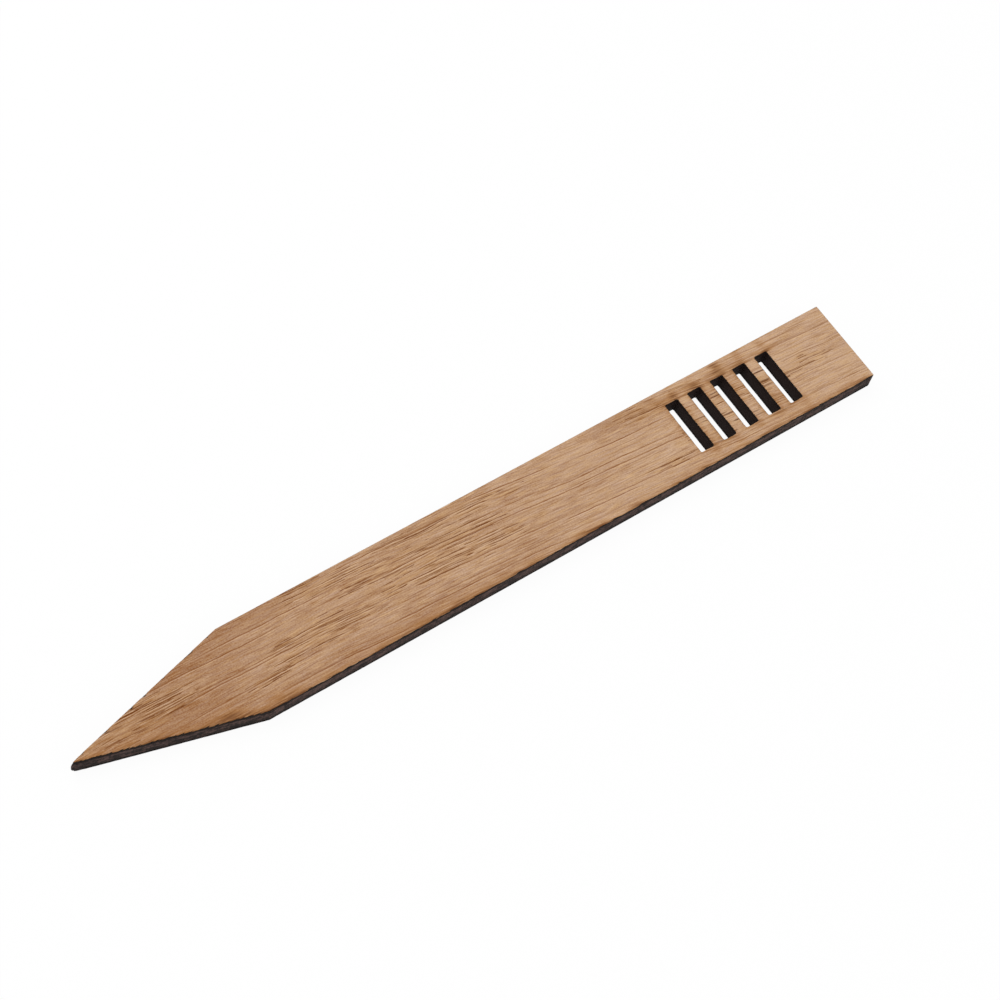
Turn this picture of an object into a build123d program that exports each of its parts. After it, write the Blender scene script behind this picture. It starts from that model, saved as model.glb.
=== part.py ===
from build123d import *
import math
import os

# A plant label stake, cut by laser from a sheet of oak-veneered fibreboard.
# It lies on its back: +X runs from the tip to the head, +Z out of the front face,
# and the origin is the middle of the back face's bounding box.

# Driving dimensions, in millimetres and degrees

stake_length = 160.0  # from the blunt tip to the head
stake_width = 17.0
point_angle = 30.0  # between the two flanks of the point
tip_radius = 0.05  # the beam rounds the tip off
head_corner_radius = 0.1

veneer_thickness = 0.5
glue_thickness = 0.1
core_thickness = 2.4

label_margin = 14.4  # solid wood between the label window and the head
slot_count = 5
slot_width = 2.8
slot_gap = 2.3  # the strip of wood left between two slots
slot_height = 11.0
slot_corner_radius = 0.25

# Places that follow from them

half_width = stake_width / 2
half_angle = math.radians(point_angle / 2)
flank_run = half_width / math.tan(half_angle)
tip_loss = tip_radius * (1 / math.sin(half_angle) - 1)

head_x = stake_length / 2
apex_x = -stake_length / 2 - tip_loss  # where the flanks would meet if the tip were sharp
shoulder_x = apex_x + flank_run

slot_pitch = slot_width + slot_gap
last_slot_x = head_x - label_margin - slot_width / 2

# The layers of the sheet, from the back face up

layup = [
    ("back_veneer", veneer_thickness),
    ("back_glue_film", glue_thickness),
    ("core_board", core_thickness),
    ("front_glue_film", glue_thickness),
    ("front_veneer", veneer_thickness),
]


def stake_outline():
    """The plan of the stake: parallel sides, a square head and a blunt point."""
    corners = [
        (apex_x, 0),
        (shoulder_x, -half_width),
        (head_x, -half_width),
        (head_x, half_width),
        (shoulder_x, half_width),
    ]
    plan = make_face(Polyline(*corners, close=True))
    plan = fillet(plan.vertices().sort_by(Axis.X)[0], tip_radius)
    return fillet(plan.vertices().sort_by(Axis.X)[-2:], head_corner_radius)


def label_slots():
    """The label window: a row of plain upright slots, all of one size."""
    slot = RectangleRounded(slot_width, slot_height, slot_corner_radius)
    return [Pos(last_slot_x - i * slot_pitch, 0) * slot for i in range(slot_count)]


def cut_layers(blank):
    """One cut goes through the whole sheet, so every layer has the same plan."""
    layers = {}
    height = 0.0
    for name, thickness in layup:
        layers[name] = extrude(Pos(0, 0, height) * blank, thickness)
        height += thickness
    return layers


def main():
    blank = stake_outline() - label_slots()
    os.makedirs("parts", exist_ok=True)
    for name, layer in cut_layers(blank).items():
        layer.label = name
        export_step(layer, f"parts/{name}.step")
        print(name, "volume", round(layer.volume, 1), "mm3")


main()
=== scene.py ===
# %% [markdown]
# # A plant label stake
#
# The stake is one strip of veneered board: an oak face, a fibreboard core and an oak back,
# glued together and cut out by a laser. Nothing moves, so all its layers ride on one body.
# The packed model gives the layers at their real size, and this lesson gives them their looks.

# %% Load the packed model
import math
from functools import reduce

import bpy
from mathutils import Matrix, Vector, noise
from mathutils.bvhtree import BVHTree


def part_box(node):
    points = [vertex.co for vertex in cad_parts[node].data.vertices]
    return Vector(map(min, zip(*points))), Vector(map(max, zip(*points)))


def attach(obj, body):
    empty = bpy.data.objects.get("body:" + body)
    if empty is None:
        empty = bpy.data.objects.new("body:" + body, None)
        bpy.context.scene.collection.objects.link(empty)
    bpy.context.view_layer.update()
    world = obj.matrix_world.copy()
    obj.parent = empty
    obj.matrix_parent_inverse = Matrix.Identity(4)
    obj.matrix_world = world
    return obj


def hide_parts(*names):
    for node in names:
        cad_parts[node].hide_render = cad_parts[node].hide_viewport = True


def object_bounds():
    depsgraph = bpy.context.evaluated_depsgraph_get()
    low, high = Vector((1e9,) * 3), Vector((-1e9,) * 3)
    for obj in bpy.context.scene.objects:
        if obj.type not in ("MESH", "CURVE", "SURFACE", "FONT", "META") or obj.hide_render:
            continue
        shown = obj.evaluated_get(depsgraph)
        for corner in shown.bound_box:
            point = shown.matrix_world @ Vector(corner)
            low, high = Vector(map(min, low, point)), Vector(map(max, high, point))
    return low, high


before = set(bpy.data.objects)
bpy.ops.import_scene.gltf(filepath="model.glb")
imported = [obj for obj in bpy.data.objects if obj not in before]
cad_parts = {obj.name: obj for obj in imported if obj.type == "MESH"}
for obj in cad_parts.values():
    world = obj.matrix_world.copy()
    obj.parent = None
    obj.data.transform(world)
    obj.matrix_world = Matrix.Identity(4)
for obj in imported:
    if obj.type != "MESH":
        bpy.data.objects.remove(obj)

cad_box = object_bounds()
print("layers", sorted(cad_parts), "box", [tuple(corner) for corner in cad_box])

# %% [markdown]
# ## Where things are
#
# Blender works in metres, and a veneer is easier to think of in millimetres, so one value
# turns one into the other. The ends, the sides and the slots are read from the packed layer,
# which keeps every later step in place if the stake is ever cut to another size.

# %% Measure the stake
mm = 0.001
face_low, face_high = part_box("front_veneer")
tip_x = face_low.x / mm
side_y = face_high.y / mm
sheet_middle = (cad_box[0].z + cad_box[1].z) / 2 / mm
sheet_half = (cad_box[1].z - cad_box[0].z) / 2 / mm

face_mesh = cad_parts["front_veneer"].data
slot_walls = [
    wall
    for wall in face_mesh.polygons
    if abs(wall.normal.x) > 0.99 and abs(wall.center.x) < face_high.x - mm
]
slot_wall_x = sorted({round(wall.center.x / mm, 2) for wall in slot_walls})
slot_centres = [(left + right) / 2 for left, right in zip(slot_wall_x[0::2], slot_wall_x[1::2])]
slot_reach = max(face_mesh.vertices[i].co.y for wall in slot_walls for i in wall.vertices) / mm
label_middle = (slot_wall_x[0] + slot_wall_x[-1]) / 2
label_half = (slot_wall_x[-1] - slot_wall_x[0]) / 2
print("slots at", [round(centre, 2) for centre in slot_centres], "mm, tip at", round(tip_x, 2))

# %% [markdown]
# ## The camera
#
# The stake lies on its back, and the picture was taken from above its point, with the camera
# turned a little on its own axis. A long lens keeps the two sides almost parallel.

# %% Place the camera
camera_place = Vector((-154.89, -133.35, 361.18)) * mm
camera_aim = Vector((7.57, 6.03, 0.0)) * mm
camera_roll = math.radians(16.66)
lens_length = 87.74  # on a sensor 36 mm wide
sensor_width = 36.0

facing = (camera_aim - camera_place).to_track_quat("-Z", "Y").to_matrix()
turned = facing @ Matrix.Rotation(camera_roll, 3, "Z")
bpy.ops.object.select_all(action="DESELECT")
bpy.ops.object.camera_add(location=camera_place, rotation=turned.to_euler())
camera = bpy.context.object
camera.data.lens = lens_length
camera.data.sensor_width = sensor_width
camera.data.clip_start = 10 * mm
bpy.context.scene.camera = camera
print("camera", round((camera_place - camera_aim).length / mm), "mm away")

# %% [markdown]
# ## Shader maths in plain expressions
#
# A node tree is a long formula, and a formula is easier to read when it is written as one.
# This small class wraps an output socket. Adding or multiplying two of them adds a Math node,
# and one method makes every other kind of node. The same class serves the materials and the
# geometry nodes, so a pattern that is written once can colour the wood and carve it too.

# %% Wrap a socket
def find_socket(sockets, key):
    """One of the sockets in use, by its place or by its name."""
    usable = [socket for socket in sockets if socket.enabled]
    if isinstance(key, int):
        return usable[key]
    return next(socket for socket in usable if socket.name == key)


class Wire:
    """One value in a node tree. Sums and products of wires become Math nodes."""

    def __init__(self, tree, socket=None):
        self.tree = tree
        self.socket = socket

    def node(self, kind, settings=(), sockets=(), result=0):
        """Any node: its settings first, then the values or wires of its sockets."""
        made = self.tree.nodes.new(kind)
        for name, value in dict(settings).items():
            setattr(made, name, value)
        for key, value in dict(sockets).items():
            target = find_socket(made.inputs, key)
            if isinstance(value, Wire):
                self.tree.links.new(value.socket, target)
            else:
                target.default_value = value
        return Wire(self.tree, made.outputs[0]).other(result) if made.outputs else None

    def other(self, result):
        """Another output of the node that this wire comes from, by name or by place."""
        return Wire(self.tree, find_socket(self.socket.node.outputs, result))

    def maths(self, operation, *values):
        return self.node("ShaderNodeMath", {"operation": operation}, enumerate(values))

    def __add__(self, value):
        return self.maths("ADD", self, value)

    def __sub__(self, value):
        return self.maths("SUBTRACT", self, value)

    def __rsub__(self, value):
        return self.maths("SUBTRACT", value, self)

    def __mul__(self, value):
        return self.maths("MULTIPLY", self, value)

    def __truediv__(self, value):
        return self.maths("DIVIDE", self, value)

    def __abs__(self):
        return self.maths("ABSOLUTE", self)

    __radd__ = __add__
    __rmul__ = __mul__

    def root(self):
        return self.maths("SQRT", self)

    def or_more(self, value):
        return self.maths("MAXIMUM", self, value)

    def or_less(self, value):
        return self.maths("MINIMUM", self, value)

    def rise(self, low, high):
        """0 below low, 1 above high, and an easy slope between them."""
        ends = {"Value": self, "From Min": low, "From Max": high}
        return self.node("ShaderNodeMapRange", {"interpolation_type": "SMOOTHSTEP"}, ends)


print("a wire knows", [name for name in vars(Wire) if not name.startswith("_")])

# %% [markdown]
# ## Names for what comes often
#
# Every finish needs places, patches of noise and one colour laid over another. Each of these is
# one node with some sockets to fill, which could be written out every time. A name of one word
# keeps the formulas short instead. Colours are written as they look on a screen, and turned into
# the linear numbers of a shader.

# %% Name the usual nodes
def point(x, y, z=0.0):
    return x.node("ShaderNodeCombineXYZ", {}, {"X": x, "Y": y, "Z": z})


def split(vector):
    parts = vector.node("ShaderNodeSeparateXYZ", {}, {"Vector": vector})
    return parts, parts.other("Y"), parts.other("Z")


def in_mm(place):
    """The three parts of a place, in millimetres."""
    return [part / mm for part in split(place)]


def cloud(x, y, z=0.0, detail=2.0):
    """Soft noise about zero. The places are given in lengths of one cloud."""
    sockets = {"Vector": point(x, y, z), "Scale": 1.0, "Detail": detail}
    return x.node("ShaderNodeTexNoise", {}, sockets) - 0.5


def blend(colour, over, share):
    """One colour over another, by a share from 0 to 1."""
    sockets = {"Factor": share, "A": colour, "B": over}
    return share.node("ShaderNodeMix", {"data_type": "RGBA"}, sockets)


def tint(red, green, blue):
    """A colour as it looks on a screen, 0 to 255, in the linear numbers that shaders use."""
    linear = [((c / 255 + 0.055) / 1.055) ** 2.4 for c in (red, green, blue)]
    return (*linear, 1.0)


def new_finish(name):
    """An empty material, and a wire to grow its nodes from."""
    finish = bpy.data.materials.new(name)
    finish.use_nodes = True
    finish.node_tree.nodes.clear()
    return finish, Wire(finish.node_tree)


def looking(wire):
    """1 for a ray that looks at the background: the camera's own, or one by way of gloss or glass."""
    ray = wire.node("ShaderNodeLightPath", {}, {}, "Is Camera Ray")
    return ray.or_more(ray.other("Is Glossy Ray")).or_more(ray.other("Is Transmission Ray"))


print("oak brown 140, 90, 50 is", [round(part, 3) for part in tint(140, 90, 50)], "to a shader")

# %% [markdown]
# ## The table
#
# The stake lies on a white table. More light would make the table white to the edge, but would
# bleach the wood as well. So the table shows the camera mostly a white of its own, and keeps a
# share of the stake's soft shadow. Rays that come by way of gloss or glass see the same white.

# %% Lay the table
table_gap = 0.02 * mm
table_size = 4.0
table_white = (0.92, 0.92, 0.92, 1.0)
pure_white = (1.0, 1.0, 1.0, 1.0)
own_white = 0.95  # the share that the camera sees as pure white, so the shadow keeps the rest

bpy.ops.object.select_all(action="DESELECT")
bpy.ops.mesh.primitive_plane_add(size=table_size, location=(0, 0, cad_box[0].z - table_gap))
table = bpy.context.object
table.name = "table"
bpy.ops.object.transform_apply(location=True, rotation=False, scale=False)

table_paint, wire = new_finish("table_white")
paint = wire.node("ShaderNodeBsdfDiffuse", {}, {"Color": table_white})
white = wire.node("ShaderNodeEmission", {}, {"Color": pure_white, "Strength": 1.0})
mixed = wire.node("ShaderNodeMixShader", {}, {0: looking(wire) * own_white, 1: paint, 2: white})
wire.node("ShaderNodeOutputMaterial", {}, {"Surface": mixed})
table.data.materials.append(table_paint)
print("table at", round(table.data.vertices[0].co.z / mm, 3), "mm")

# %% [markdown]
# ## The light
#
# The wood has no shine and no hard shadow, as under large white screens. One large soft box
# hangs over the stake's upper left side, a weaker one opposite, and an even sky fills the rest.
# They are only as strong as a colour needs to look the way it is written.

# %% Hang the lights
sky_strength = 0.55
key_place = Vector((-0.25, 0.45, 0.75))
key_size = 0.7
key_power = 4.6
fill_place = Vector((0.35, -0.55, 0.6))
fill_size = 0.6
fill_power = 1.4


def soft_box(name, place, size, power):
    """A square lamp that faces the stake."""
    aim = (-place).to_track_quat("-Z", "Y").to_euler()
    bpy.ops.object.light_add(type="AREA", location=place, rotation=aim)
    lamp = bpy.context.object
    lamp.name = name
    lamp.data.size = size
    lamp.data.energy = power


soft_box("key_light", key_place, key_size, key_power)
soft_box("fill_light", fill_place, fill_size, fill_power)

sky = bpy.data.worlds.new("sky")
bpy.context.scene.world = sky
sky.use_nodes = True
sky.node_tree.nodes.clear()
wire = Wire(sky.node_tree)
glow = {"Color": pure_white, "Strength": sky_strength + looking(wire) * (1 - sky_strength)}
wire.node("ShaderNodeOutputWorld", {}, {"Surface": wire.node("ShaderNodeBackground", {}, glow)})
bpy.context.scene.view_settings.view_transform = "Standard"

# %% [markdown]
# ## A fine face
#
# The packed veneer is a few long triangles, and open pores can't be carved into those. A face
# with small even cells could be modelled by subdividing, but the slots would make that uneven.
# Here a ruled slab is made larger than the stake and cut to its plan with a Boolean, as a saw
# cuts a strip from a sheet, and only its ruled face is kept.

# %% Make a saw
merge_distance = 1e-4 * mm
cutter_stretch = 9


def pick(piece):
    bpy.ops.object.select_all(action="DESELECT")
    piece.select_set(True)
    bpy.context.view_layer.objects.active = piece


def cutter_of(node):
    """A taller copy of a packed layer, merged into one closed solid."""
    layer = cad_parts[node]
    cutter = bpy.data.objects.new(node + "_cutter", layer.data.copy())
    bpy.context.scene.collection.objects.link(cutter)
    pick(cutter)
    low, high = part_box(node)
    bpy.ops.object.mode_set(mode="EDIT")
    bpy.ops.mesh.select_all(action="SELECT")
    bpy.ops.mesh.remove_doubles(threshold=merge_distance)
    bpy.ops.transform.resize(value=(1, 1, cutter_stretch), center_override=(low + high) / 2)
    bpy.ops.object.mode_set(mode="OBJECT")
    return cutter


def saw_to_plan(slab, node):
    """Cut a slab to the layer's plan, which may have holes in it."""
    cutter = cutter_of(node)
    pick(slab)
    saw = slab.modifiers.new("saw", "BOOLEAN")
    saw.operation = "INTERSECT"
    saw.solver = "MANIFOLD"
    saw.object = cutter
    bpy.ops.object.modifier_apply(modifier=saw.name)
    bpy.data.meshes.remove(cutter.data)
    slab.data.materials.clear()


print("the saw is", cutter_stretch, "times as high as the layer that it is copied from")

# %% Rule a face
slab_spare = 0.35 * mm
slab_thickness = 0.1 * mm
upright = 0.9  # a face whose normal rises by more than this looks up


def keep_top(slab):
    """Delete all but the faces that look up."""
    pick(slab)
    bpy.ops.object.mode_set(mode="EDIT")
    bpy.ops.mesh.select_mode(type="FACE")
    bpy.ops.mesh.select_all(action="DESELECT")
    bpy.ops.object.mode_set(mode="OBJECT")
    for face in slab.data.polygons:
        face.select = face.normal.z <= upright
    bpy.ops.object.mode_set(mode="EDIT")
    bpy.ops.mesh.delete(type="FACE")
    bpy.ops.object.mode_set(mode="OBJECT")


def ruled_face(name, node, cell, height):
    """A flat sheet with the layer's plan at that height, ruled into cells of about that size."""
    low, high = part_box(node)
    span = high - low + Vector((slab_spare, slab_spare, 0)) * 2
    counts = [math.ceil(span[i] / cell[i]) for i in range(2)]
    bpy.ops.object.select_all(action="DESELECT")
    bpy.ops.mesh.primitive_grid_add(
        x_subdivisions=counts[0], y_subdivisions=counts[1], size=1,
        location=((low.x + high.x) / 2, (low.y + high.y) / 2, height),
    )
    sheet = bpy.context.object
    sheet.name = name
    sheet.data.name = name
    sheet.scale = (span.x, span.y, 1)
    bpy.ops.object.transform_apply(location=True, rotation=True, scale=True)
    bpy.ops.object.mode_set(mode="EDIT")
    bpy.ops.mesh.select_all(action="SELECT")
    bpy.ops.mesh.extrude_region_move(TRANSFORM_OT_translate={"value": (0, 0, -slab_thickness)})
    bpy.ops.mesh.select_all(action="SELECT")
    bpy.ops.mesh.normals_make_consistent(inside=False)
    bpy.ops.object.mode_set(mode="OBJECT")
    saw_to_plan(sheet, node)
    keep_top(sheet)
    return sheet


print("sheets are ruled", slab_spare / mm, "mm larger than the plan all round, then sawn")

# %% [markdown]
# ## The edge of a veneer
#
# A veneer is half a millimetre thick, and its edge is the black line along the cut. Solidify
# would give the face that thickness, but without rings between, and the burnt corner needs them
# to bend. So the border is drawn down ring by ring, and filled where it meets the glue.

# %% Draw the border down
veneer_cell = (0.4 * mm, 0.085 * mm)
face_rings = [0.0, 0.08 * mm, 0.25 * mm, face_high.z - face_low.z]  # how far down each ring lies


def draw_edge(piece, heights):
    """Draw the border of a sheet down, ring by ring, to make its cut edge, and fill the end."""
    pick(piece)
    bpy.ops.object.mode_set(mode="EDIT")
    bpy.ops.mesh.select_mode(type="EDGE")
    bpy.ops.mesh.select_all(action="DESELECT")
    bpy.ops.mesh.select_non_manifold()
    for start, end in zip(heights, heights[1:]):
        bpy.ops.mesh.extrude_edges_move(TRANSFORM_OT_translate={"value": (0, 0, end - start)})
    bpy.ops.mesh.fill()
    bpy.ops.mesh.select_all(action="SELECT")
    bpy.ops.mesh.normals_make_consistent(inside=False)
    bpy.ops.object.mode_set(mode="OBJECT")


def veneer(name, node, outward):
    """A veneer with a ruled face that looks outward, up or down, and a cut edge behind it."""
    low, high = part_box(node)
    level = high.z if outward > 0 else low.z
    sheet = ruled_face(name, node, veneer_cell, level)
    draw_edge(sheet, [level - outward * depth for depth in face_rings])
    return sheet


front = veneer("front_face", "front_veneer", 1)
back = veneer("back_face", "back_veneer", -1)
print("veneers", len(front.data.polygons), "and", len(back.data.polygons), "faces")

# %% [markdown]
# ## Where the beam was hot
#
# The cut is not burnt evenly, so how brown the wood is depends on the cut that lies nearest.
# A texture on the whole stake could not know that. Each point of a veneer asks the packed
# layer's walls for the nearest cut instead, and from that place come three values that stay on
# the mesh for the finish: the way to the cut, the width of its black rim, and the scorch.

# %% Ask for the nearest cut
def nearest_cut(node):
    """A way to ask for the nearest cut wall of a packed layer: its place, direction and distance."""
    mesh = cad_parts[node].data
    walls = [tuple(face.vertices) for face in mesh.polygons if abs(face.normal.z) < 0.5]
    tree = BVHTree.FromPolygons([vertex.co for vertex in mesh.vertices], walls)
    low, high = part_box(node)

    def ask(place):
        wall, normal, _, distance = tree.find_nearest(Vector((place.x, place.y, (low.z + high.z) / 2)))
        return wall / mm, Vector((normal.x, normal.y, 0)), distance / mm

    return ask


_, _, cut_distance = nearest_cut("front_veneer")(Vector((0, 0, 0)))
print("the middle of the face is", round(cut_distance, 2), "mm from the nearest cut")

# %% [markdown]
# ## Rim and halo
#
# A black rim runs along each cut, a few hundredths of a millimetre wide, with a brown halo beside
# it. Both are strongest on the lower side, where the beam dwelt on the point. A border of one
# width would look drawn on, so the heat drifts along it, and its hottest places are listed.

# %% Ease and drift
def clamp(value):
    return min(1.0, max(0.0, value))


def ease(value, low, high):
    """0 below low, 1 above high, and an easy slope between them, for plain numbers."""
    share = clamp((value - low) / (high - low))
    return share * share * (3 - 2 * share)


def bell(value, middle, width):
    """1 in the middle, and falling off on both sides."""
    return math.exp(-(((value - middle) / width) ** 2))


def puff(x, y, z):
    """Soft noise about zero, for plain numbers."""
    return noise.noise(Vector((x, y, z)))


print("half way, the slope is at", ease(0.5, 0, 1), "and the bell at", round(bell(0.5, 0, 1), 2))

# %% Heat the border
# Sizes and places are in millimetres, as in all cells on the burn
upper_rim = 0.015
lower_rim = 0.06  # added on the lower side
dwell_rim = 0.04  # added there where the beam dwelt
dwell_from, dwell_to = -48.0, -27.0  # where along the stake that fades out
nick_rim = 0.2  # the widest nick on the upper side of the point
slot_rim = 0.05
slot_margin = 0.5
scorch_reach = 0.7

# The hottest places on the lower side: where along it, how much hotter, and how much wider
hot_spots = [
    (-66.0, 0.35, 0.2),
    (-55.0, 0.35, 0.7),
    (-45.0, 0.45, 0.4),
    (-14.0, 0.5, 0.1),
    (17.0, 0.3, 0.1),
]
hot_width = 4.0


def in_label(place):
    """Whether a place is in the window of slots, or on its border."""
    beside = abs(place.x - label_middle) < label_half + slot_margin
    return beside and abs(place.y) < slot_reach + slot_margin


def burn_of(wall, outwards):
    """A cut's black rim and brown halo: the rim's width, the halo's heat from 0 to 1 and its reach."""
    drift = clamp(0.5 + 1.1 * puff(wall.x / 5, wall.y / 5, 2.5))
    if in_label(wall):
        return slot_rim, 0.15 + 0.25 * drift, scorch_reach * (0.6 + 1.2 * drift)
    lower = max(0.0, -outwards.y)
    heat = 0.1 * drift + lower * (0.28 + 0.3 * drift)
    reach = scorch_reach
    for spot_x, hotter, wider in hot_spots:
        near = lower * bell(wall.x, spot_x, hot_width)
        heat += near * hotter
        reach += near * wider
    dwell = 1 - ease(wall.x, dwell_from, dwell_to)
    rim = upper_rim + lower * (lower_rim + dwell_rim * dwell)
    if outwards.x < -0.1 and outwards.y > 0:
        rim += nick_rim * ease(puff(wall.x / 1.1, wall.y / 1.1, 7.5), 0.15, 0.35)
    return rim, heat, reach


print("rim", upper_rim, "mm wide at the least, hottest at", [spot[0] for spot in hot_spots], "mm")

# %% [markdown]
# ## Smoke over the slots
#
# The air that clears the cut blew the smoke of each slot over the wood beside its end, most of it
# towards the upper side. One soft band would hide that there are several slots. So each slot has
# a plume of its own, a bell curve that leans towards the head, and noise breaks them up.

# %% Blow the smoke
plume_width = 1.05
plume_lean = 1.2
upper_smoke = (0.14, 0.3)  # between the plumes, and how much more in them
lower_smoke = (0.05, 0.12)
smoke_margin = 3.0
smoke_fade = 0.25  # the share that is gone at the side of the stake


def smoke_at(place):
    """Brown smoke over the end of each slot, 0 to 1, and a trace of it under the other end."""
    above = abs(place.y) - slot_reach
    if above < 0 or abs(place.x - label_middle) > label_half + smoke_margin:
        return 0.0
    lean = plume_lean + 0.3 * puff(place.x / 5, place.y / 3, 6.5)
    plume = max(bell(place.x, centre + lean, plume_width) for centre in slot_centres)
    base, strength = upper_smoke if place.y > 0 else lower_smoke
    thinning = 1 - smoke_fade * ease(above, 1.0, side_y - slot_reach)
    return (base + plume * strength) * thinning * (0.8 + 0.9 * puff(place.x / 3, place.y / 2, 8.5))


print("smoke stands over", len(slot_centres), "slots")

# %% [markdown]
# ## The burnt edge
#
# The beam leaves no clean corner. It bites a little more where the wood is soft, leaves fine
# ridges down the cut and burns the upper and lower corners of the tip away. A bevel would be
# even all round, and a burnt edge is not, so each of these is noise on the place of a point.

# %% Shape the burn
front_nose = 0.4  # how far the corners of the tip are burnt back
back_nose = 0.55
nose_reach = 1.0
nose_height = 0.85  # of half the thickness, from where on a corner is burnt back in full
narrow_length = 1.5  # of the tip, where there is little wood to burn away
least_room = 0.05


def ridges(place):
    """How deep the beam's ridges are, 0 to 1: fine around the outline, long down the cut."""
    fine = puff(place.x / 0.22, place.y / 0.22, place.z / 3.0)
    coarse = puff(place.x / 0.9, place.y / 0.9, place.z / 1.2)
    return 0.5 + 0.3 * fine + 0.2 * coarse


def bites(place):
    """How deep the beam has eaten into the face's border, 0 to 1."""
    nick = puff(place.x / 0.8, place.y / 0.8, 4.5)
    hollow = puff(place.x / 3.1, place.y / 3.1, 9.5)
    return clamp((nick * 0.5 + hollow * 0.5 + 0.1) * 1.6)


def nose(place):
    """How far the tip is burnt back there: not at its middle, and most at its outer corners."""
    depth = front_nose if place.z > sheet_middle else back_nose
    corner = min(1.0, abs(place.z - sheet_middle) / sheet_half / nose_height)
    return depth * corner ** 3 * math.exp((tip_x - place.x) / nose_reach)


def room(place):
    """How much there is to burn away, 0 to 1: next to nothing on the narrow end of the tip."""
    return min(1.0, least_room + (place.x - tip_x) / narrow_length)


print("tip burnt back", front_nose, "mm at its upper corner and", back_nose, "mm at its lower one")

# %% [markdown]
# ## Singed veneers
#
# The burn could be painted on, and then the outline would stay as sharp as a drawing. Moving each
# point near a cut back by a fraction of a millimetre makes it real. The outer corner also drops
# a little, which rounds it.

# %% Singe the veneers
ridge_depth = 0.02
deepest_bite = 0.1
bite_reach = 0.35
exit_share = 0.3  # of the bites, on the back, where the beam came out
corner_drop = 0.5  # of the width of the black rim
corner_reach = 0.1
singed_width = 2.0


def keep_values(piece, name, values):
    """Keep one number for each point of a mesh, for its finish to read."""
    attribute = piece.data.attributes.new(name, "FLOAT", "POINT")
    attribute.data.foreach_set("value", values)


def singe_veneer(piece, node, outward):
    """Burn the border of a veneer back, and keep what its finish needs to know of the cut."""
    ask = nearest_cut(node)
    low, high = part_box(node)
    level = high.z if outward > 0 else low.z
    thickness = (high.z - low.z) / mm
    eaten = 1.0 if outward > 0 else exit_share
    ways = []
    rims = []
    scorches = []
    for vertex in piece.data.vertices:
        wall, outwards, distance = ask(vertex.co)
        place = vertex.co / mm
        depth = abs(vertex.co.z - level) / mm
        rim, heat, reach = burn_of(wall, outwards)
        ways.append(distance - depth)
        rims.append(rim)
        scorches.append(heat * math.exp(-distance / reach) + smoke_at(place))
        if distance > singed_width:
            continue
        near = math.exp(-distance / bite_reach) * room(place)
        back_off = near * ridge_depth * ridges(place)
        back_off += near * eaten * min(rim, deepest_bite) * bites(place) * (1 - depth / thickness)
        drop = corner_drop * rim * math.exp(-distance / corner_reach) if depth == 0 else 0
        vertex.co -= outwards * back_off * mm
        vertex.co.x += nose(place) * mm
        vertex.co.z -= outward * drop * mm
    keep_values(piece, "way_to_cut", ways)
    keep_values(piece, "rim_width", rims)
    keep_values(piece, "scorch", scorches)


singe_veneer(front, "front_veneer", 1)
singe_veneer(back, "back_veneer", -1)
front_scorch = [point_value.value for point_value in front.data.attributes["scorch"].data]
print("edges singed, the scorch on the front is up to", round(max(front_scorch), 2))

# %% [markdown]
# ## The charred core and the glue lines
#
# The fibreboard shows only at the cut, where it is a band of charcoal brown between the two
# veneers, with a thin line of burnt glue above and below. Their walls are drawn down from the
# same plan in many rings, so that the beam's ridges and the crumbly fibres are real relief.

# %% Shape a charred wall
crumb_depth = 0.025


def plain_sheet(piece):
    """Swap the ruled cells of a sheet that nobody sees for a plain filling of its border."""
    pick(piece)
    bpy.ops.object.mode_set(mode="EDIT")
    bpy.ops.mesh.select_mode(type="FACE")
    bpy.ops.mesh.select_all(action="SELECT")
    bpy.ops.mesh.region_to_loop()
    bpy.ops.mesh.select_all(action="INVERT")
    bpy.ops.mesh.delete(type="EDGE")
    bpy.ops.mesh.select_mode(type="EDGE")
    bpy.ops.mesh.select_all(action="SELECT")
    bpy.ops.mesh.fill()
    bpy.ops.object.mode_set(mode="OBJECT")


def crumbs(place):
    """How far the charred fibres have crumbled, 0 to 1."""
    fine = puff(place.x / 0.35, place.y / 0.35, place.z / 0.35)
    coarse = puff(place.x / 1.1, place.y / 1.1, place.z / 0.8)
    return 0.5 + 0.3 * fine + 0.2 * coarse


print("a charred wall crumbles", crumb_depth, "mm and is ridged", ridge_depth, "mm deep")

# %% Draw the core and the glue lines
wall_cell = (0.2 * mm, 0.2 * mm)
wall_ring = 0.2 * mm
glue_loss = 0.03
smooth_angle = math.radians(45)


def burnt_wall(name, node, loss):
    """A layer that shows only its cut edge, burnt back by that much and ridged."""
    low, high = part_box(node)
    piece = ruled_face(name, node, wall_cell, high.z)
    plain_sheet(piece)
    count = max(1, round((high.z - low.z) / wall_ring))
    draw_edge(piece, [high.z + (low.z - high.z) * i / count for i in range(count + 1)])
    ask = nearest_cut(node)
    for vertex in piece.data.vertices:
        place = vertex.co / mm
        _, outwards, _ = ask(vertex.co)
        back_off = loss + ridge_depth * ridges(place) + crumb_depth * crumbs(place)
        vertex.co -= outwards * back_off * room(place) * mm
        vertex.co.x += nose(place) * mm
    pick(piece)
    bpy.ops.object.shade_smooth_by_angle(angle=smooth_angle)
    return piece


core = burnt_wall("core_wall", "core_board", 0.0)
front_glue = burnt_wall("front_glue_line", "front_glue_film", glue_loss)
back_glue = burnt_wall("back_glue_line", "back_glue_film", glue_loss)
print("core", len(core.data.polygons), "faces, glue lines", len(front_glue.data.polygons), "each")
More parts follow.
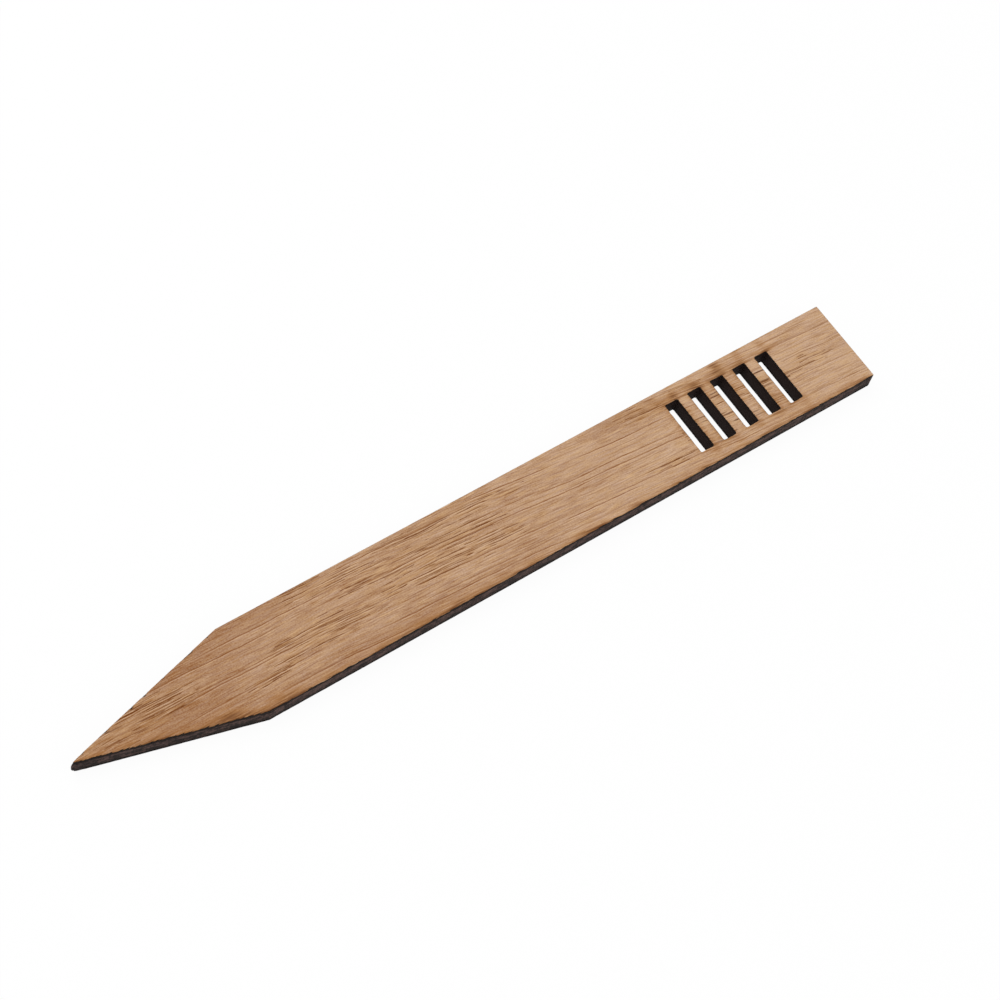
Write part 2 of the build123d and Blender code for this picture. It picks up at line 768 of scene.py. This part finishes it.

# %% [markdown]
# ## How oak grows
#
# Oak has wide open pores, and a cut along the trunk shows them as dark strokes along the
# fibres. They crowd where a layer of spring wood lies near the surface, and long ones run
# between. Noise could scatter them all, but where they lie is what tells one piece of oak from
# the next, so the patches and the long pores are listed one by one.

# %% Place the patches and the long pores
# Each patch of spring wood: its middle along and across the stake, and its reach both ways
front_patches = [
    (-68.0, 1.2, 14.0, 3.2),
    (-33.0, -0.8, 13.0, 2.8),
    (-29.0, 6.3, 9.0, 1.3),
    (-32.5, 8.1, 5.0, 0.55),
    (-12.0, 3.3, 19.0, 2.0),
    (-8.0, -0.4, 20.0, 2.2),
    (-4.0, 6.4, 17.0, 1.5),
    (-45.0, -3.7, 7.0, 0.9),
    (38.5, 6.3, 7.0, 2.0),
    (37.0, -4.8, 7.0, 1.0),
    (57.0, 0.7, 10.0, 1.6),
    (61.0, -3.4, 4.0, 0.9),
    (70.0, 0.3, 7.0, 1.6),
    (-2.0, 8.1, 6.0, 0.5),
    (17.0, -8.0, 4.0, 0.4),
    (47.0, 7.1, 5.0, 0.9),
]
back_patches = [
    (-58.0, -2.0, 16.0, 2.6),
    (-14.0, 3.5, 24.0, 2.6),
    (20.0, -4.5, 22.0, 2.4),
    (71.0, 3.0, 9.0, 2.2),
]

# Each long pore: its middle along and across the stake, and its reach along it
front_lines = [
    (-42.0, 5.3, 16.0),
    (-50.0, 3.9, 14.0),
    (-48.0, -0.1, 11.0),
    (-29.0, -7.0, 13.0),
    (-15.0, 7.3, 15.0),
    (-7.0, -6.1, 22.0),
    (10.0, 6.3, 11.0),
    (8.0, 1.0, 19.0),
    (21.0, -4.8, 10.0),
    (27.0, 1.1, 17.0),
    (32.0, 4.0, 11.0),
    (54.0, -7.1, 11.0),
    (66.0, 7.2, 14.0),
    (72.0, 5.2, 6.0),
    (72.0, -2.0, 7.0),
    (73.0, 1.7, 8.0),
    (73.0, -6.3, 7.0),
]
back_lines = [
    (-44.0, 5.0, 15.0),
    (-26.0, -6.0, 18.0),
    (2.0, -1.5, 20.0),
    (36.0, 6.5, 12.0),
    (70.0, -3.0, 9.0),
]
print("front", len(front_patches), "patches and", len(front_lines), "long pores placed")
print("back", len(back_patches), "patches and", len(back_lines), "long pores placed")

# %% [markdown]
# ## Fibres that fall and wander
#
# The fibres lie straight near the point, then fall towards the head, and wander. A texture could
# be turned by one angle, but not bent. So the way across the fibres is a formula on the place of
# a point, and every patch and pore is measured along it.

# %% Follow the fibres
straight_slope = 0.017
fall_slope = 0.061
bend_at = -18.0
bend_length = 15.0


def fall_at(x, root):
    """How far the fibres have fallen at x, with a root for numbers or the one for wires."""
    past = x - bend_at
    return straight_slope * x + fall_slope / 2 * (past + root(past * past + bend_length ** 2))


def across_grain(x, y, shift):
    """Where a point lies across the wandering fibres, in millimetres."""
    wander = cloud(x / 30, y / 12, shift) * 1.8 + cloud(x / 6, y / 3, shift + 3) * 0.3
    return y + fall_at(x, Wire.root) + wander


def oval(x, across, middle_x, middle_y, half_length, half_width):
    """How far out a point lies in an oval along the fibres: 0 in its middle, 1 on its border."""
    along = (x - middle_x) / half_length
    aside = (across - middle_y - fall_at(middle_x, math.sqrt)) / half_width
    return along * along + aside * aside


def crowding(x, across, patches, shift):
    """Where the pores of the spring wood crowd together, 0 to 1."""
    nearest = reduce(Wire.or_less, [oval(x, across, *patch) for patch in patches])
    ragged = cloud(x / 6, across / 0.8, shift + 11, 3.0) * 2.4
    return 1 - (nearest + ragged).rise(0.3, 1.1)


print("grain falls", straight_slope, "to", straight_slope + fall_slope, "mm in each mm")

# %% [markdown]
# ## Strokes
#
# A pore that is cut along its length is a thin dark stroke with tapered ends. Beside it, on its lower
# side, the wood is given a pale lip, a painted highlight where the edge of the groove would catch the
# light.
# Stretched noise would give streaks without ends. A Voronoi texture gives cells, each with a middle and
# a few dice of its own, and one stroke is drawn in each cell whose die allows it. The long pores that
# were listed are the same stroke.

# %% Draw the strokes
# The cell and the half size of each kind of stroke, along the fibres and across them
run_cell, run_size = (18.0, 0.33), (10.0, 0.092)
short_cell, short_size = (4.6, 0.36), (2.2, 0.095)
long_cell, long_size = (40.0, 1.5), (19.0, 0.12)
placed_half_width = 0.11


def stroke(end, side):
    """The dark middle of a stroke and the painted highlight on its lower lip, by the way along and
    across it, 1 at its border.
    """
    taper = end * end * 0.4
    shown = 1 - end.rise(0.6, 1.0)
    dark = (1 - (abs(side) + taper).rise(0.6, 1.2)) * shown
    # lip: a painted highlight, a pale band along the lower side of the stroke where its edge would
    # catch the light
    lip = (1 - (abs(side + 1.9) + taper).rise(0.3, 1.2)) * shown
    return dark, lip


def strokes(x, across, cell, size, keep, shift, widen=1.0):
    """Strokes along the fibres, one to a cell, where keep is high: their dark middles and the painted
    highlights on their lips.
    """
    place = point(x / cell[0], across / cell[1] + shift)
    voronoi = {"voronoi_dimensions": "2D", "feature": "F1"}
    middle = place.node("ShaderNodeTexVoronoi", voronoi, {"Vector": place, "Scale": 1.0}, "Position")
    length_dice, keep_dice, depth_dice = split(middle.other("Color"))
    offset = place.node("ShaderNodeVectorMath", {"operation": "SUBTRACT"}, {0: place, 1: middle})
    off_along, off_across, _ = split(offset)
    end = abs(off_along) * (cell[0] / size[0]) / (0.35 + 0.65 * length_dice)
    dark, lip = stroke(end, off_across * (cell[1] / (size[1] * widen)))
    shown = (keep - keep_dice).rise(0.0, 0.1) * (0.55 + 0.45 * depth_dice)
    return dark * shown, lip * shown


def open_pores(x, across, crowd, shift, widen=1.0):
    """The crowded pores: how open they are, 0 to 1, and the painted highlights on their lips."""
    jagged = across + cloud(x / 2.5, across / 0.5, shift + 15) * 0.14
    beads = 0.6 + 0.4 * cloud(x / 1.8, across / 0.3, shift + 19).rise(-0.15, 0.1)
    runs, run_lip_highlights = strokes(x, jagged, run_cell, run_size, crowd * 0.95, shift, widen)
    short, short_lip_highlights = strokes(x, jagged, short_cell, short_size, crowd * 0.4, shift + 5, widen)
    return runs.or_more(short) * beads, run_lip_highlights.or_more(short_lip_highlights)


def long_pores(x, across, lines, shift, widen=1.0):
    """The long single pores, those listed and a few by chance, and the painted highlights on their
    lips.
    """
    wavy = across + cloud(x / 2.5, across / 0.8, shift + 7) * 0.25
    dark, lip = strokes(x, wavy, long_cell, long_size, 0.3, shift + 9, widen)
    for middle_x, middle_y, half_length in lines:
        end = abs(x - middle_x) / half_length
        side = (wavy - middle_y - fall_at(middle_x, math.sqrt)) / (placed_half_width * widen)
        line, line_lip_highlight = stroke(end, side)
        dark = dark.or_more(line)
        lip = lip.or_more(line_lip_highlight)
    uneven = 0.55 + 0.45 * cloud(x / 3, across / 0.6, shift + 39).rise(-0.2, 0.1)
    return dark * uneven, lip * uneven


print("pores are", 2 * short_size[0], "to", 2 * long_size[0], "mm long at the most")

# %% [markdown]
# ## Carve the pores
#
# A pore is a real groove, so it is cut into the ruled face and not only painted on it. Geometry
# nodes know the same noise and cell patterns as a shader, so the formula above can move the
# points of the face down by the depth of the pore that they lie in. The grooves are a little
# wider than the dark strokes, because the points of the face are not as close as its colours.

# %% Carve a face
pore_depth = 0.035 * mm
groove_widening = 1.5
long_share = 0.7  # of that depth, in the long pores
front_shift = 2.0  # where in the noise each face lies, so that no two are alike
back_shift = 31.0


def carve(piece, level, outward, patches, lines, shift):
    """Lower the points of a ruled face where its pores are open."""
    tree = bpy.data.node_groups.new(piece.name + "_pores", "GeometryNodeTree")
    tree.interface.new_socket("Geometry", in_out="INPUT", socket_type="NodeSocketGeometry")
    tree.interface.new_socket("Geometry", in_out="OUTPUT", socket_type="NodeSocketGeometry")
    wire = Wire(tree)
    x, y, z = in_mm(wire.node("GeometryNodeInputPosition"))
    across = across_grain(x, y, shift)
    crowd = crowding(x, across, patches, shift)
    pore, _ = open_pores(x, across, crowd, shift, groove_widening)
    long_pore, _ = long_pores(x, across, lines, shift, groove_widening)
    on_face = 1 - abs(z - level / mm).rise(0.03, 0.06)
    depth = pore.or_more(long_pore * long_share) * on_face * (-outward * pore_depth)
    moved = {
        "Geometry": wire.node("NodeGroupInput"),
        "Offset": wire.node("ShaderNodeCombineXYZ", {}, {"Z": depth}),
    }
    carved = wire.node("GeometryNodeSetPosition", {}, moved)
    wire.node("NodeGroupOutput", {}, {0: carved})
    pick(piece)
    chisel = piece.modifiers.new("chisel", "NODES")
    chisel.node_group = tree
    bpy.ops.object.modifier_apply(modifier=chisel.name)
    bpy.ops.object.shade_smooth_by_angle(angle=smooth_angle)


back_low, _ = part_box("back_veneer")
carve(front, face_high.z, 1, front_patches, front_lines, front_shift)
carve(back, back_low.z, -1, back_patches, back_lines, back_shift)
print("pores carved up to", pore_depth / mm, "mm deep")

# %% [markdown]
# ## Scorched oak
#
# The veneer is sanded and bare, so it has no shine: a tan that is darker towards the point,
# fine streaks along the fibres, and the dark pores. The laser adds a black rim, a golden brown
# halo beside the cut, and brown smoke that was drawn up from each slot. Each is one colour laid
# over another. The darker and lighter places of the board are listed, as the patches are.

# %% Mix the colours
pale_oak = tint(203, 168, 136)
brown_oak = tint(140, 90, 50)
golden_oak = tint(184, 140, 92)
# the pale colour of the painted highlight along the lower lip of each pore
painted_lip_highlight = tint(212, 180, 151)
line_brown = tint(132, 80, 38)
pore_brown = tint(112, 60, 14)
soot_brown = tint(90, 48, 19)
scorch_gold = tint(163, 111, 58)
scorch_brown = tint(106, 63, 30)
char_black = tint(13, 7, 5)
char_brown = tint(35, 21, 15)
cool_glaze = (0.97, 1.0, 1.11, 1.0)
warm_glaze = (1.02, 1.0, 0.88, 1.0)

# Each darker or lighter place: its middle along and across the stake, its reach, and how much
front_shades = [
    (-60.0, -3.0, 8.0, 2.0, -0.08),
    (-45.0, -2.0, 10.0, 3.4, 0.12),
    (-41.0, 7.3, 14.0, 2.8, -0.22),
    (-22.0, -6.8, 20.0, 2.8, -0.16),
    (-8.0, -1.2, 9.0, 2.2, 0.1),
    (19.0, -7.2, 8.0, 1.8, 0.15),
    (36.0, 6.4, 13.0, 3.2, -0.24),
    (53.0, 7.2, 6.0, 1.5, 0.1),
    (71.0, -7.0, 8.0, 2.2, -0.1),
]
back_shades = [
    (-30.0, 5.0, 16.0, 3.0, -0.15),
    (12.0, -6.0, 20.0, 2.8, 0.12),
]
print("the palest oak is", [round(part, 2) for part in pale_oak[:3]], "in linear numbers")

# %% [markdown]
# ## Bare wood
#
# Wood has streaks of every width, from specks to broad stripes. One noise with much detail would
# be alike all over. Several, each with its own length and width along the fibres, can be weighed
# one by one, and are livelier in some places than in others.

# %% Make bare wood
def glaze(colour, over):
    """A clear wash of one colour over another."""
    settings = {"data_type": "RGBA", "blend_type": "MULTIPLY"}
    return colour.node("ShaderNodeMix", settings, {"Factor": 1.0, "A": colour, "B": over})


def shading(x, across, shades):
    """How much lighter the wood is than around it, or darker where it is below zero."""
    return sum((1 - oval(x, across, *place).rise(0.0, 1.0)) * change for *place, change in shades)


def bare_wood(x, y, across, crowd, shades, shift):
    """Sanded oak before its pores: its colour, and its flecks and streaks for the relief."""
    # The numbers that divide a place are a cloud's length and width, in millimetres
    flecks = cloud(x / 3, across / 0.19, shift + 21, 3.0)
    medium = cloud(x / 10, across / 0.5, shift + 23)
    stripe = cloud(x / 25, across / 1.6, shift + 25)
    mottle = cloud(x / 14, y / 4, shift + 27)
    patch = cloud(x / 5, y / 1.8, shift + 29)
    specks = cloud(x / 0.3, y / 0.25, shift + 31)
    hue = cloud(x / 3, across / 0.35, shift + 33, 3.0)
    lively = 0.7 + 0.6 * cloud(x / 18, across / 2.5, shift + 35).rise(-0.15, 0.15)
    streaks = (flecks * (1.35 + 0.9 * crowd) + medium * 0.5) * lively + specks * 0.9
    tone = 0.33 + 0.25 * x.rise(-58.0, -36.0) + 0.22 * x.rise(-20.0, 60.0) + shading(x, across, shades)
    lightness = tone + streaks + stripe * 0.42 + mottle * 0.32 + patch * 0.3
    wood = blend(brown_oak, pale_oak, lightness)
    wood = blend(wood, golden_oak, crowd * 0.25)
    wood = glaze(wood, blend(cool_glaze, warm_glaze, 0.5 + hue * 3.0))
    return wood, flecks, medium


print("bare wood in", len(front_shades), "darker and lighter places on the front")

# %% [markdown]
# ## Pores, scorch and char
#
# On the bare wood lie the painted highlights on the pores' lips and the dark pores, then the scorch,
# and last the black rim.
# The order matters, because a later colour hides the ones below it, as a burn hides the grain.
# The values that the singeing kept on the mesh say how far each of them reaches.

# %% Darken the wood
# The cell and the half size of the two kinds of stroke that are only coloured and not carved
hair_cell, hair_size = (12.0, 0.5), (5.8, 0.085)
sooty_cell, sooty_size = (7.0, 0.9), (3.4, 0.14)
sooty_margin = 0.8
label_fade = 0.3


def kept(wire, name):
    """A value that was kept on the points of the mesh."""
    return wire.node("ShaderNodeAttribute", {"attribute_name": name}, {}, "Fac")


def label_box(x, y, margin):
    """1 in the window of slots, 0 outside it."""
    half_length = label_half + margin
    half_height = slot_reach + margin
    beside = 1 - abs(x - label_middle).rise(half_length - label_fade, half_length)
    between = 1 - abs(y).rise(half_height - label_fade, half_height)
    return beside * between


def with_pores(wood, x, y, across, crowd, lines, shift):
    """Wood with its pores, and how open the crowded and the long ones are."""
    pore, pore_lip_highlight = open_pores(x, across, crowd, shift)
    long_pore, long_lip_highlight = long_pores(x, across, lines, shift)
    hair, _ = strokes(x, across, hair_cell, hair_size, 0.7, shift + 13)
    near_slots = label_box(x, y, sooty_margin)
    sooty, _ = strokes(x, across, sooty_cell, sooty_size, near_slots * 0.6, shift + 17)
    wood = blend(wood, line_brown, hair * 0.45)
    # painted highlight: the lower lip of each pore is made paler, as if its edge caught the light
    wood = blend(wood, painted_lip_highlight, (pore_lip_highlight * 0.85 + long_lip_highlight * 0.35).or_less(1.0))
    wood = blend(wood, line_brown, long_pore * (0.85 - 0.35 * x.rise(40.0, 66.0)))
    wood = blend(wood, pore_brown, (pore * (1.25 - 0.25 * x.rise(-58.0, -15.0))).or_less(1.0))
    wood = blend(wood, soot_brown, sooty * 0.9)
    return wood, pore, long_pore


def scorched(wood, x, across, flecks, shift):
    """Wood that is golden and brown beside the cuts and black at them, and how black it is."""
    scorch = kept(x, "scorch") * (1 + cloud(x / 4, across / 0.3, shift + 37, 3.0) * 4.0)
    wood = blend(wood, scorch_gold, scorch.rise(0.02, 0.4) * 0.6)
    wood = blend(wood, scorch_brown, scorch.rise(0.15, 0.9) * 0.85)
    rim_width = kept(x, "rim_width")
    tongues = (cloud(x / 2.2, across / 0.2, shift + 41, 3.0) * 9.0).or_less(0.6) * rim_width
    rim = 1 - (kept(x, "way_to_cut") + tongues).rise(rim_width * 0.2, rim_width)
    char = blend(char_black, char_brown, flecks.rise(-0.2, 0.3))
    return blend(wood, char, rim), rim


print("sooty strokes lie up to", sooty_margin, "mm from the slots")

# %% [markdown]
# ## A dull surface
#
# Bare wood and charcoal hardly shine, so both have a low specular level and a high roughness. The
# carved pores are real relief. What is finer than the cells of the mesh, such as the flecks of
# the fibres, is left to a bump, which is only deep enough to break the light.

# %% Finish the veneers
dull_gloss = 0.15
bump_depth = 0.03 * mm


def matt(wire, colour, rough, relief, strength):
    """The end of a finish: a dull surface in that colour, with a bump of that relief."""
    bump = {"Strength": strength, "Distance": bump_depth, "Height": relief}
    sockets = {
        "Base Color": colour,
        "Roughness": rough,
        "Specular IOR Level": dull_gloss,
        "Normal": wire.node("ShaderNodeBump", {}, bump),
    }
    shader = wire.node("ShaderNodeBsdfPrincipled", {}, sockets)
    wire.node("ShaderNodeOutputMaterial", {}, {"Surface": shader})


def oak(name, patches, lines, shades, shift):
    """The whole finish of a veneer, with its own pattern of growth."""
    finish, wire = new_finish(name)
    x, y, _ = in_mm(wire.node("ShaderNodeTexCoord", {}, {}, "Object"))
    across = across_grain(x, y, shift)
    crowd = crowding(x, across, patches, shift)
    wood, flecks, medium = bare_wood(x, y, across, crowd, shades, shift)
    wood, pore, long_pore = with_pores(wood, x, y, across, crowd, lines, shift)
    wood, rim = scorched(wood, x, across, flecks, shift)
    rough = 0.66 + pore * 0.2 + rim * 0.15
    relief = flecks * 0.5 + medium * 0.2 - pore - long_pore * long_share
    matt(wire, wood, rough, relief, strength=0.4)
    return finish


front.data.materials.append(oak("front_oak", front_patches, front_lines, front_shades, front_shift))
back.data.materials.append(oak("back_oak", back_patches, back_lines, back_shades, back_shift))
print("oak finishes on", front.name, "and", back.name)

# %% [markdown]
# ## Charcoal
#
# The cut edge of the core and the two glue lines are burnt to a matt brown black. The walls of the
# slots are darker still, with painted shade, as shade falls in their deep narrow hollows. One flat
# colour would look like paint. Fine lighter crumbs, the beam's upright streaks and the board's long
# fibres break it up, and it is palest a little above its middle.

# %% Finish the cut edge
charcoal_dark = tint(24, 14, 11)
charcoal_light = tint(92, 72, 67)
glue_dark = tint(18, 11, 9)
glue_brown = tint(44, 31, 26)
# painted shade: the colour that darkens the walls of the slots, as shade falls in their narrow hollows
slot_painted_shade = tint(28, 10, 4)
pale_height = sheet_middle + 0.4


def charcoal(name, dark, light):
    """The finish of a burnt wall, between a dark and a light colour."""
    finish, wire = new_finish(name)
    x, y, z = in_mm(wire.node("ShaderNodeTexCoord", {}, {}, "Object"))
    crumb = cloud(x / 0.45, y / 0.45, z / 0.4, 3.0)
    streak = cloud(x / 0.25, y / 0.25, z / 4)
    fibre = cloud(x / 4, y / 4, z / 0.25, 3.0)
    patch = cloud(x / 1.6, y / 1.6, z / 1.0, 3.0)
    band = 1 - abs(z - pale_height).rise(0.3, 1.4)
    tone = 0.36 * band + 0.21 * x.rise(-52.0, -44.0) - 0.05
    char_with_slot_shade = blend(dark, light, tone + crumb * 2.6 + streak * 0.8 + fibre * 2.2 + patch * 2.4)
    # painted shade on the walls of the slots, laid over the charcoal
    char_with_slot_shade = blend(char_with_slot_shade, slot_painted_shade, label_box(x, y, slot_margin) * 0.92)
    matt(wire, char_with_slot_shade, 0.8 + crumb * 0.3, crumb + streak * 0.5, strength=0.5)
    return finish


core.data.materials.append(charcoal("charred_core", charcoal_dark, charcoal_light))
burnt_glue = charcoal("burnt_glue", glue_dark, glue_brown)
front_glue.data.materials.append(burnt_glue)
back_glue.data.materials.append(burnt_glue)
print("charcoal on", core.name, front_glue.name, back_glue.name)

# %% [markdown]
# ## Ride on the body
#
# Each new piece stands for one packed layer and rides on the one body, and that packed layer
# is hidden.

# %% Ride on the body
for piece, node, slot in (
    (front, "front_veneer", "front_oak"),
    (front_glue, "front_glue_film", "glue"),
    (core, "core_board", "fibreboard"),
    (back_glue, "back_glue_film", "glue"),
    (back, "back_veneer", "back_oak"),
):
    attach(piece, "root")
    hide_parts(node)
